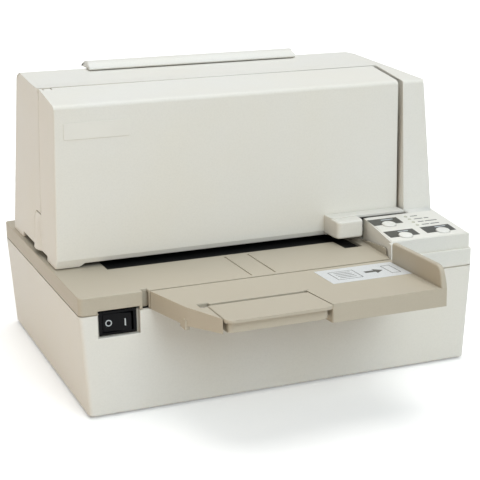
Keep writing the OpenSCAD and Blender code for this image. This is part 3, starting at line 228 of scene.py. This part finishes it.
def metal(name, colour, rough=0.32, stretch=(14, 1, 1), grain_mm=0.25):
    """Metal, with its grain drawn out by stretch."""
    g = Graph(name, metallic=1.0)
    grain = g.noise(grain_mm, 3, stretch)
    broad = g.noise(16, 3)
    tint = g.mix(0.5, g.ramp(broad, shade(colour, 0.86), shade(colour, 1.06)),
                 g.ramp(grain, shade(colour, 0.9), shade(colour, 1.05)))
    return g.finish(tint, g.spread(broad, rough - 0.07, rough + 0.1), g.bump(grain, 0.004))


def painted(name, colour, rough=0.45):
    """Painted or plated can with a slight orange peel."""
    g = Graph(name, metallic=0.25)
    peel = g.noise(1.4, 2)
    broad = g.noise(12, 2)
    tint = g.ramp(broad, shade(colour, 0.85), shade(colour, 1.15))
    return g.finish(tint, g.spread(peel, rough - 0.08, rough + 0.08), g.bump(peel, 0.01))


def rubbery(name, colour):
    """Ground rubber with a dusty bloom."""
    g = Graph(name, specular=0.25)
    ground = g.noise(0.3, 3, (1, 3, 3))
    bloom = g.noise(5, 4)
    tint = g.ramp(bloom, colour, shade(colour, 1.9), 0.45, 0.8)
    return g.finish(tint, g.spread(ground, 0.72, 0.92), g.bump(ground, 0.02))


def circuit(name, colour):
    """Solder mask over copper tracks."""
    g = Graph(name, specular=0.5)
    tracks = g.add("ShaderNodeTexBrick", offset=0.5, squash=1.0)
    for socket, k in (("Color1", 1.0), ("Color2", 1.25), ("Mortar", 2.2)):
        tracks.inputs[socket].default_value = (*shade(colour, k), 1)
    tracks.inputs["Mortar Size"].default_value = 0.03
    g.link(g.mapped((260, 260, 260)), tracks.inputs["Vector"])
    fine = g.noise(0.8, 2)
    mottle = g.ramp(fine, shade(colour, 0.8), shade(colour, 1.2))
    tint = g.mix(0.3, tracks.outputs["Color"], mottle)
    return g.finish(tint, g.spread(fine, 0.25, 0.4), g.bump(tracks.outputs["Fac"], 0.02))


def inked(name, colour):
    """Inked nylon ribbon, woven."""
    g = Graph(name, specular=0.2)
    weave = g.add("ShaderNodeTexChecker", Scale=1.0)
    weave.inputs["Color1"].default_value = (*colour, 1)
    weave.inputs["Color2"].default_value = (*shade(colour, 1.8), 1)
    g.link(g.mapped((3000, 3000, 3000)), weave.inputs["Vector"])
    rough = g.spread(g.noise(2, 2), 0.6, 0.8)
    return g.finish(weave.outputs["Color"], rough, g.bump(weave.outputs["Fac"], 0.01))


OFF_WHITE = (0.785, 0.775, 0.735)
BEIGE = (0.50, 0.452, 0.365)
ROUND_GRAIN = (1, 1, 1)

SLOTS = {
    "off_white": moulded("off_white_abs", OFF_WHITE, (0.785, 0.765, 0.70)),
    "beige": moulded("beige_abs", BEIGE, (0.49, 0.44, 0.35), 0.48, 0.6, 0.016),
    "dark_plastic": moulded("dark_plastic", (0.012, 0.012, 0.012), (0.018, 0.017, 0.016)),
    "black_plastic": gloss("black_plastic", (0.004, 0.004, 0.005), 0.45, 0.12),
    "panel_film": film("panel_film", (0.80, 0.785, 0.735)),
    "label_dark": film("label_dark", (0.075, 0.076, 0.068)),
    "label_pale": film("label_pale", (0.67, 0.685, 0.70), 0.3),
    "button_white": gloss("button_white", (0.82, 0.81, 0.77), 0.3),
    "mark_white": film("mark_white", (0.56, 0.60, 0.62), 0.5),
    "led_clear": gloss("led_clear", (0.62, 0.62, 0.52), 0.15, 0.6),
    "steel": metal("zinc_steel", (0.56, 0.57, 0.58)),
    "motor_grey": painted("motor_grey", (0.05, 0.052, 0.056)),
    "aluminium": metal("aluminium", (0.66, 0.67, 0.69), 0.36, ROUND_GRAIN, 0.4),
    "brass": metal("brass", (0.62, 0.42, 0.18), 0.35, ROUND_GRAIN, 0.3),
    "gear_white": gloss("gear_white", (0.68, 0.65, 0.55), 0.4),
    "rubber": rubbery("rubber", (0.016, 0.016, 0.017)),
    "board_green": circuit("board_green", (0.012, 0.11, 0.045)),
    "ribbon": inked("ribbon", (0.008, 0.008, 0.012)),
}

slot_of = {row["node"]: row["material_slot"] for row in frame["record"]["subparts"]}
bodies = frame["record"]["behaviour"]["bodies"]
body_of = {node: body for body, nodes in bodies.items() for node in nodes}

for name, node in frame["nodes"].items():
    node.data.materials.clear()
    node.data.materials.append(SLOTS[slot_of[name]])


# Rounded copies of the CAD nodes: what is welded (in metres) and flattened first, which edges are
# rounded, how much of the room beside an edge the rounding may take, how far a rounded corner may
# stray from the surface as a share of the width and how far around it the rounding is dropped, and
# when a direction counts as along an axis
WELD = 2e-6
FLAT_DEG = 0.04
SHARP_DEG = 28
SHORTEST_EDGE = 0.3
MOST_ROOM = 9.0
ROOM_SHARE = 0.42
STRAY_SHARE = 0.45
STRAY_REACH = 2.5
SETTLE_ROUNDS = 6
ALONG = 0.9


def room_beside(edge, way):
    """The length of the shortest edge that leaves an end of this one sideways, in millimetres."""
    lengths = [MOST_ROOM]
    for corner in edge.verts:
        for other in corner.link_edges:
            step = other.other_vert(corner).co - corner.co
            if other is not edge and abs(step.normalized().dot(way)) < ALONG:
                lengths.append(step.length / MM)
    return min(lengths)


def settle(piece, widest):
    """Drops the rounding wherever a rounded corner would leave the surface."""
    mesh = piece.data
    faces = [polygon.vertices[:] for polygon in mesh.polygons]
    surface = BVHTree.FromPolygons([vertex.co for vertex in mesh.vertices], faces)
    weights = mesh.attributes["bevel_weight_edge"].data
    for _ in range(SETTLE_ROUNDS):
        shown = piece.evaluated_get(bpy.context.evaluated_depsgraph_get()).to_mesh()
        astray = []
        for vertex in shown.vertices:
            gap = surface.find_nearest(vertex.co)[3]
            if gap > STRAY_SHARE * widest * MM:
                astray.append((vertex.co.copy(), 1.3 * gap + STRAY_REACH * MM))
        if not astray:
            return
        for edge in mesh.edges:
            ends = [mesh.vertices[k].co for k in edge.vertices]
            if any((end - spot).length < reach for end in ends for spot, reach in astray):
                weights[edge.index].value = 0.0
        mesh.update()


def rounding_widths(bm, width, rule):
    """The width for each sharp outer edge: what rule(middle, direction) says, or else width, and
    less where its neighbours leave little room."""
    widths = {}
    for edge in bm.edges:
        if len(edge.link_faces) != 2 or not edge.is_convex:
            continue
        if edge.calc_face_angle(0.0) < math.radians(SHARP_DEG):
            continue
        if edge.calc_length() < SHORTEST_EDGE * MM:
            continue
        a, b = (vertex.co for vertex in edge.verts)
        way = (b - a).normalized()
        wanted = rule(in_case((a + b) / 2), way) if rule else None
        widths[edge] = min(width if wanted is None else wanted, ROOM_SHARE * room_beside(edge, way))
    return widths


def rounded_copy(name, width, rule=None, segments=3, shape=None, crease=50):
    """A copy of a CAD node that stands for it, with its sharp outer edges rounded by width
    millimetres, or by what rule says. shape may change the copy first. Edges sharper than crease
    degrees stay hard in the shading."""
    mesh = frame["nodes"][name].data.copy()
    bm = bmesh.new()
    bm.from_mesh(mesh)
    bmesh.ops.remove_doubles(bm, verts=bm.verts, dist=WELD)
    bmesh.ops.dissolve_limit(bm, angle_limit=math.radians(FLAT_DEG), verts=bm.verts, edges=bm.edges)
    if shape:
        shape(bm)
    bmesh.ops.connect_verts_concave(bm, faces=bm.faces)
    bm.normal_update()
    layer = bm.edges.layers.float.new("bevel_weight_edge")
    widths = rounding_widths(bm, width, rule)
    widest = max(widths.values())
    for edge, value in widths.items():
        edge[layer] = value / widest
    bm.to_mesh(mesh)
    bm.free()
    if "custom_normal" in mesh.attributes:
        mesh.attributes.remove(mesh.attributes["custom_normal"])
    for polygon in mesh.polygons:
        polygon.use_smooth = True
    piece = bpy.data.objects.new("v_" + name, mesh)
    bpy.context.scene.collection.objects.link(piece)
    bevel = piece.modifiers.new("Round", "BEVEL")
    bevel.limit_method = "WEIGHT"
    bevel.width = widest * MM
    bevel.segments = segments
    bevel.use_clamp_overlap = False
    bevel.miter_outer = "MITER_SHARP"
    normals = piece.modifiers.new("Normals", "WEIGHTED_NORMAL")
    normals.mode = "FACE_AREA"
    normals.weight = 60
    normals.keep_sharp = True
    mesh.set_sharp_from_angle(angle=math.radians(crease))
    settle(piece, widest)
    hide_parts(name)
    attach(piece, body_of[name])


# Changes of shape that only the looks have.
# The shadow gap over the lower case: its height and depth, and how far in the outer wall reaches
LEDGE = 0.05
GAP_TALL = 0.6
GAP_DEEP = 0.9
GAP_SKIN = 1.2
# The leaf: how far its skirt steps back, the radius from which its corner is squared, and the length
# of the stretch before its rear edge that is drawn in, and by which share
SKIRT_BACK = 2.2
SQUARED_FROM = 4.4
GROOVE_REACH = 3.0
GROOVE_DRAW = 0.4
# The table: how much longer the finger hole and wider the seam is, and how far the lower edge of the
# left wall rises at its front end
HOLE_LONGER = 3.5
SEAM_WIDER = 0.9
TIP_RAISED = 2.2


def set_back(bm, height, chosen, shift):
    """Shifts the chosen vertices under a height, which leaves a ledge there."""
    for z in (height, height + LEDGE):
        everything = bm.verts[:] + bm.edges[:] + bm.faces[:]
        bmesh.ops.bisect_plane(bm, geom=everything, dist=1e-6, plane_co=at(0, 0, z), plane_no=(0, 0, 1))
    for vertex in bm.verts:
        x, y, z = in_case(vertex.co)
        if z < height + 0.4 * LEDGE and chosen(x, y):
            vertex.co += Vector(shift(x, y)) * MM


def on_outline(x, y):
    """True on the outer wall of the case's outline, corners included."""
    dx = abs(x) - (HALF_W - CORNER)
    dy = abs(y - DEPTH / 2) - (DEPTH / 2 - CORNER)
    if dx > 0 and dy > 0:
        return math.hypot(dx, dy) > CORNER - GAP_SKIN
    return max(dx, dy) > CORNER - GAP_SKIN


def towards_middle(x, y):
    """A shift that draws the case's outline in all round."""
    return -GAP_DEEP * x / HALF_W, -GAP_DEEP * (y - DEPTH / 2) / (DEPTH / 2), 0


def joint_gap(bm):
    """A shadow gap between the upper shells and the lower case."""
    set_back(bm, CASE_TOP + GAP_TALL, on_outline, towards_middle)


def skirt_shift(x, y):
    """The leaf's skirt steps back, and its rounded left corner becomes a square one."""
    dx, dy = LEAF_LEFT + LEAF_CORNER - x, LEAF_FRONT + LEAF_CORNER - y
    square = dx > 0 and math.hypot(dx, dy) > SQUARED_FROM
    return 0, SKIRT_BACK + (dy - LEAF_CORNER if square else 0), 0


def leaf_shape(bm):
    """The leaf's front skirt stands behind the edge of its top, and the groove behind the leaf is
    wider."""
    set_back(bm, DECK_TOP - LIP, lambda x, y: y < LEAF_FRONT + LEAF_CORNER + 0.05, skirt_shift)
    for vertex in bm.verts:
        x, y, z = in_case(vertex.co)
        if z > DECK_TOP - 4:
            vertex.co.y -= GROOVE_DRAW * max(0.0, y - LEAF_BACK + GROOVE_REACH) * MM


def table_shape(bm):
    """A longer finger hole beside the leaf, a wider seam towards the deck, and a left wall that
    tapers to its front end."""
    for vertex in bm.verts:
        x, y, z = in_case(vertex.co)
        if HOLE_LEFT - 0.3 < x < LEAF_LEFT and near(y, LEAF_BACK, 0.3):
            vertex.co.y -= HOLE_LONGER * MM
        if near(z, DECK_TOP, 0.2) and y > -1:
            vertex.co.y -= SEAM_WIDER * MM
        if z < CASE_TOP + 3 and y < LEAF_FRONT + 8 and x < LEAF_LEFT:
            vertex.co.z += TIP_RAISED * MM


def cover_rule(middle, way):
    """Wider on the upright edges of the cover's face and on its catch block."""
    x, y, z = middle
    upright = near(y, COVER_FACE, 0.6) and z > DECK_TOP + 8 and abs(way.z) > ALONG
    on_catch = CATCH_LEFT < x < CATCH_RIGHT and y < COVER_FACE - 0.5
    return 1.3 if upright or on_catch else None


def housing_rule(middle, way):
    """Wider on the long edge at the rear of the top, and on the front of the column."""
    x, y, z = middle
    if z > DECK_TOP + 20 and y > REAR_FROM and abs(way.x) > ALONG:
        return 1.2
    return 1.0 if y < COLUMN_BACK and z > DECK_TOP + 5 else None


def joint_rule(middle, way):
    """The joint between deck and lower case stays a thin line."""
    return 0.2 if near(middle[2], CASE_TOP, 1.5) else None


def table_rule(middle, way):
    """Sharp at the lower edge, wider on the guide wall."""
    z = middle[2]
    if z < CASE_TOP + 3:
        return 0.0
    return 0.9 if z > DECK_TOP + 1 else None


def bar_rule(middle, way):
    """Wider at the ends of the exit guide's bar."""
    return 1.4 if abs(way.x) < 0.5 and middle[2] > COVER_TOP + 10 else None


rounded_copy("lower_case", 0.6, joint_rule)
rounded_copy("deck_cover", 0.6, joint_rule, shape=joint_gap)
rounded_copy("rear_housing", 0.6, housing_rule, shape=joint_gap)
rounded_copy("front_cover", 0.5, cover_rule, crease=22.65)
rounded_copy("exit_guide", 0.5, bar_rule)
rounded_copy("slip_table", 0.5, table_rule, shape=table_shape)
rounded_copy("table_leaf", 0.7, shape=leaf_shape)
rounded_copy("name_plate", 0.12)
rounded_copy("switch_rocker", 0.5)
rounded_copy("rubber_feet", 0.3)
for key in ("button_left_rear", "button_left_front", "button_right_front"):
    rounded_copy(key, 0.5)
for key in ("print_head", "carriage", "ribbon_cartridge", "carriage_motor", "feed_motor", "left_frame",
            "right_frame", "platen_bar", "rear_connectors", "board_parts", "upper_guide", "motor_pulley",
            "idler_pulley", "pinch_front", "pinch_rear"):
    rounded_copy(key, 0.25, segments=2)


# Flat printed pieces: generic marks where the real machine has its lettering and drawing. INK is
# their thickness. The others are the heights of the film, a button's plate and the two labels above
# the panel, the table's top and the rear wall
INK = 0.03
ON_PANEL = 0.25
ON_PLATE = 0.35
ON_LABEL = 0.12
ON_RATING = 0.16


def box_outline(x0, y0, x1, y1):
    """A rectangle between two corners."""
    return [(x0, y0), (x1, y0), (x1, y1), (x0, y1)]


def outlined(a, b, line):
    """The four bars of a rectangular frame between two corners."""
    (x0, y0), (x1, y1) = a, b
    return [
        box_outline(x0, y0, x1, y0 + line),
        box_outline(x0, y1 - line, x1, y1),
        box_outline(x0, y0 + line, x0 + line, y1 - line),
        box_outline(x1 - line, y0 + line, x1, y1 - line),
    ]


def bar(x, y, w, h):
    """A bar with cut corners, from its left lower corner."""
    c = min(1.0, min(w, h) * 0.25)
    return [(x + c, y), (x + w - c, y), (x + w, y + c), (x + w, y + h - c),
            (x + w - c, y + h), (x + c, y + h), (x, y + h - c), (x, y + c)]


def arrow(tail, neck, tip, y, half_shaft, half_head):
    """An arrow along X with its middle line at y."""
    return [(tail, y - half_shaft), (tail, y + half_shaft), (neck, y + half_shaft),
            (neck, y + half_head), (tip, y), (neck, y - half_head), (neck, y - half_shaft)]


def printed(name, outlines, place, thick, body, slot):
    """Flat shapes on a surface: place takes case millimetres (x, y, height above the surface)."""
    bm = bmesh.new()
    for outline in outlines:
        low = [bm.verts.new(place(x, y, 0.0)) for x, y in outline]
        high = [bm.verts.new(place(x, y, thick)) for x, y in outline]
        bm.faces.new(high)
        bm.faces.new(low[::-1])
        for k in range(len(low)):
            j = (k + 1) % len(low)
            bm.faces.new((low[k], low[j], high[j], high[k]))
    bmesh.ops.recalc_face_normals(bm, faces=bm.faces)
    mesh = bpy.data.meshes.new(name)
    bm.to_mesh(mesh)
    bm.free()
    mesh.materials.append(SLOTS[slot])
    piece = bpy.data.objects.new(name, mesh)
    bpy.context.scene.collection.objects.link(piece)
    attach(piece, body)


def on_panel(height):
    """Places a point of the tilted panel, height millimetres above its surface."""
    def place(x, y, z):
        run, rise = y - PANEL_FRONT, z + height
        return at(x, PANEL_FRONT + run * math.cos(PANEL_TILT) - rise * math.sin(PANEL_TILT),
                  PANEL_Z + run * math.sin(PANEL_TILT) + rise * math.cos(PANEL_TILT))
    return place


def on_rear(height):
    """Places a point of the slanted rear wall: x, how far up the wall, and how far out of it."""
    def place(x, rise, z):
        run, out = rise - REAR_Z, z + height
        return at(x, REAR_Y - run * math.sin(REAR_TILT) + out * math.cos(REAR_TILT),
                  REAR_Z + run * math.cos(REAR_TILT) + out * math.sin(REAR_TILT))
    return place


def on_wall(y, way):
    """Places a point of an upright wall at y; way is 1 where its outside faces the rear, or -1."""
    return lambda x, z, out: at(x, y + way * out, z)


def on_label(x, y, z):
    """A point of the label on the table, z above it."""
    return at(x, y, DECK_TOP + ON_LABEL + z)


def legend_marks():
    """Bars in place of the words beside the four indicators: first words, then second words."""
    left, front, step, tall = 103.2, 23.4, 5.1, 1.0
    marks = [bar(left, front + step * k, w, tall) for k, w in enumerate((5.2, 4.2, 6.2, 5.0))]
    second = ((6.0, 6.4), (5.0, 8.6), (7.0, 3.4))
    marks += [bar(left + indent, front + step * k, w, tall) for k, (indent, w) in enumerate(second)]
    printed("legend_marks", marks, on_panel(ON_PANEL), INK, "case", "label_dark")


def plate_marks():
    """A bar on the dark plate of each button."""
    marks = [bar(HALF_W - 44.4, 37.6, 8.4, 1.1), bar(HALF_W - 43.8, 16.4, 7.2, 1.1)]
    marks += [bar(HALF_W - 17.6, 16.8, 7.8, 1.1)]
    printed("plate_marks", marks, on_panel(ON_PLATE), INK, "case", "mark_white")


def sheet_motif():
    """On the table's label: a printed sheet, an arrow and the slot that it goes into."""
    front, back, line = -27.5, -12, 0.45
    marks = outlined((20, front), (36, back), line)
    marks += [bar(22.6, -24.4 + 3 * k, 10.6, 0.7) for k in range(4)]
    marks += [arrow(40.5, 47, 52.4, -19.8, 1.6, 4.2)]
    marks += outlined((54.5, front), (60.5, back), line)
    printed("sheet_motif", marks, on_label, INK, "case", "label_dark")


def notch_back():
    """The bottom of the notch beside the table."""
    plate = bar(-89.6, CASE_TOP + 0.4, 5.2, 8.6)
    printed("notch_back", [plate], on_wall(4.9, -1), 0.5, "case", "beige")


def rating_label():
    """A blank rating plate on the slanted rear wall, with bars and a square as its print."""
    left, low, wide, tall = -70, 92, 62, 30
    printed("rating_plate", [bar(left, low, wide, tall)], on_rear(0), 0.15, "case", "label_pale")
    marks = outlined((left + 1.5, low + 1.5), (left + wide - 1.5, low + tall - 1.5), 0.4)
    marks += [bar(left + 4, low + 5 + 4.2 * k, w, 1.3) for k, w in enumerate((31, 24, 35, 28))]
    marks += outlined((-24, 97), (-13, 108), 0.5)
    printed("rating_marks", marks, on_rear(ON_RATING), INK, "case", "label_dark")


def socket_contacts():
    """Contacts in the rear sockets: three of the power socket, four of the drawer socket and two
    rows of the interface socket."""
    marks = [bar(x, z, 1.0, 2.2) for x, z in ((62.6, 24), (65.5, 20.4), (68.4, 24))]
    marks += [bar(36.9 + 2.3 * k, 21.2 + 1.5 * (k % 2), 0.7, 0.7) for k in range(4)]
    marks += [bar(-37 + 2.6 * k, z, 1.1, 0.5) for z in (23.6, 19.2) for k in range(18)]
    printed("socket_contacts", marks, on_wall(186, 1), 5.0, "case", "steel")


legend_marks()
plate_marks()
sheet_motif()
notch_back()
rating_label()
socket_contacts()


# Camera, fitted to the photograph's straight edges
YAW = math.radians(21.6185)
PITCH = math.radians(14.9489)
ROLL = math.radians(-0.9448)
FOCAL_PX = 1264.17
IMAGE_PX = 480
EYE = at(-287.4676, -650.8803, 280.7802)


def make_camera():
    """The fitted camera."""
    data = bpy.data.cameras.new("camera")
    data.sensor_width = 36.0
    data.lens = FOCAL_PX * data.sensor_width / IMAGE_PX
    camera = bpy.data.objects.new("camera", data)
    bpy.context.scene.collection.objects.link(camera)
    ahead = Vector((math.sin(YAW) * math.cos(PITCH), math.cos(YAW) * math.cos(PITCH), -math.sin(PITCH)))
    right = Vector((math.cos(YAW), -math.sin(YAW), 0))
    up = right.cross(ahead)
    side = math.cos(ROLL) * right + math.sin(ROLL) * up
    top = -math.sin(ROLL) * right + math.cos(ROLL) * up
    turn = Matrix((side, top, -ahead)).transposed()
    camera.matrix_world = Matrix.Translation(EYE) @ turn.to_4x4()
    bpy.context.scene.camera = camera


def rays(tree, *kinds):
    """A node output that is 1 for rays of these kinds and 0 for others."""
    path = tree.nodes.new("ShaderNodeLightPath")
    result = path.outputs[kinds[0]]
    for kind in kinds[1:]:
        either = tree.nodes.new("ShaderNodeMath")
        either.operation = "MAXIMUM"
        tree.links.new(result, either.inputs[0])
        tree.links.new(path.outputs[kind], either.inputs[1])
        result = either.outputs[0]
    return result


def make_floor():
    """A floor that looks white, lights the printer like a light grey one, and glows a little
    towards the camera, which keeps the shadow on it light."""
    bm = bmesh.new()
    bmesh.ops.create_grid(bm, x_segments=8, y_segments=8, size=12)
    mesh = bpy.data.meshes.new("floor")
    bm.to_mesh(mesh)
    bm.free()
    floor = bpy.data.objects.new("floor", mesh)
    bpy.context.scene.collection.objects.link(floor)
    g = Graph("floor", specular=0.0)
    seen = rays(g.tree, "Is Camera Ray", "Is Glossy Ray", "Is Transmission Ray")
    glow = g.add("ShaderNodeMath", operation="MULTIPLY")
    glow.inputs[1].default_value = 0.22
    g.link(seen, glow.inputs[0])
    g.link(glow.outputs[0], g.shader.inputs["Emission Strength"])
    g.link(g.mix(seen, (0.62, 0.615, 0.60), (0.97, 0.97, 0.97)), g.shader.inputs["Base Color"])
    g.shader.inputs["Emission Color"].default_value = (*WHITE, 1)
    g.shader.inputs["Roughness"].default_value = 1.0
    mesh.materials.append(g.material)


def sun(name, towards, strength, colour, soft_deg):
    """A lamp far away in the direction towards."""
    data = bpy.data.lights.new(name, "SUN")
    data.energy = strength
    data.color = colour
    data.angle = math.radians(soft_deg)
    lamp = bpy.data.objects.new(name, data)
    lamp.rotation_euler = Vector(towards).to_track_quat("Z", "Y").to_euler()
    bpy.context.scene.collection.objects.link(lamp)


def low_glow(name, place, size, power, colour, turn_deg):
    """A low upright panel of light that the camera doesn't see; turn_deg 0 shines along +Y."""
    data = bpy.data.lights.new(name, "AREA")
    data.shape = "RECTANGLE"
    data.size, data.size_y = size
    data.energy = power
    data.color = colour
    lamp = bpy.data.objects.new(name, data)
    lamp.location = place
    lamp.rotation_euler = (math.pi / 2, 0, math.radians(turn_deg))
    lamp.visible_camera = False
    bpy.context.scene.collection.objects.link(lamp)


def make_world():
    """An even sky, which the camera sees as white."""
    world = bpy.data.worlds.new("studio")
    world.use_nodes = True
    tree = world.node_tree
    sky = tree.nodes["Background"]
    sky.inputs["Color"].default_value = (0.97, 1.0, 1.02, 1)
    sky.inputs["Strength"].default_value = 0.42
    wall = tree.nodes.new("ShaderNodeBackground")
    wall.inputs["Color"].default_value = (*WHITE, 1)
    pick = tree.nodes.new("ShaderNodeMixShader")
    for k, output in enumerate((rays(tree, "Is Camera Ray"), sky.outputs[0], wall.outputs[0])):
        tree.links.new(output, pick.inputs[k])
    tree.links.new(pick.outputs[0], tree.nodes["World Output"].inputs["Surface"])
    bpy.context.scene.world = world


def make_light():
    """A high key lamp, a fill from the front, and two warm lamps at the left."""
    bpy.context.scene.view_settings.view_transform = "Standard"
    make_world()
    sun("key", (0.1, 0.2, 0.95), 1.4, (1.0, 0.975, 0.945), 45)
    sun("front_fill", (0.15, -1.0, 0.72), 1.27, (0.9, 1.0, 1.03), 40)
    sun("warm_side", (-1.0, 0.6, 0.3), 0.2, (1.0, 0.6, 0.15), 30)
    low_glow("low_left", (-0.77, -0.4, 0.036), (1.5, 0.07), 1.25, (1.0, 0.6, 0.2), -62)


make_camera()
make_floor()
make_light()
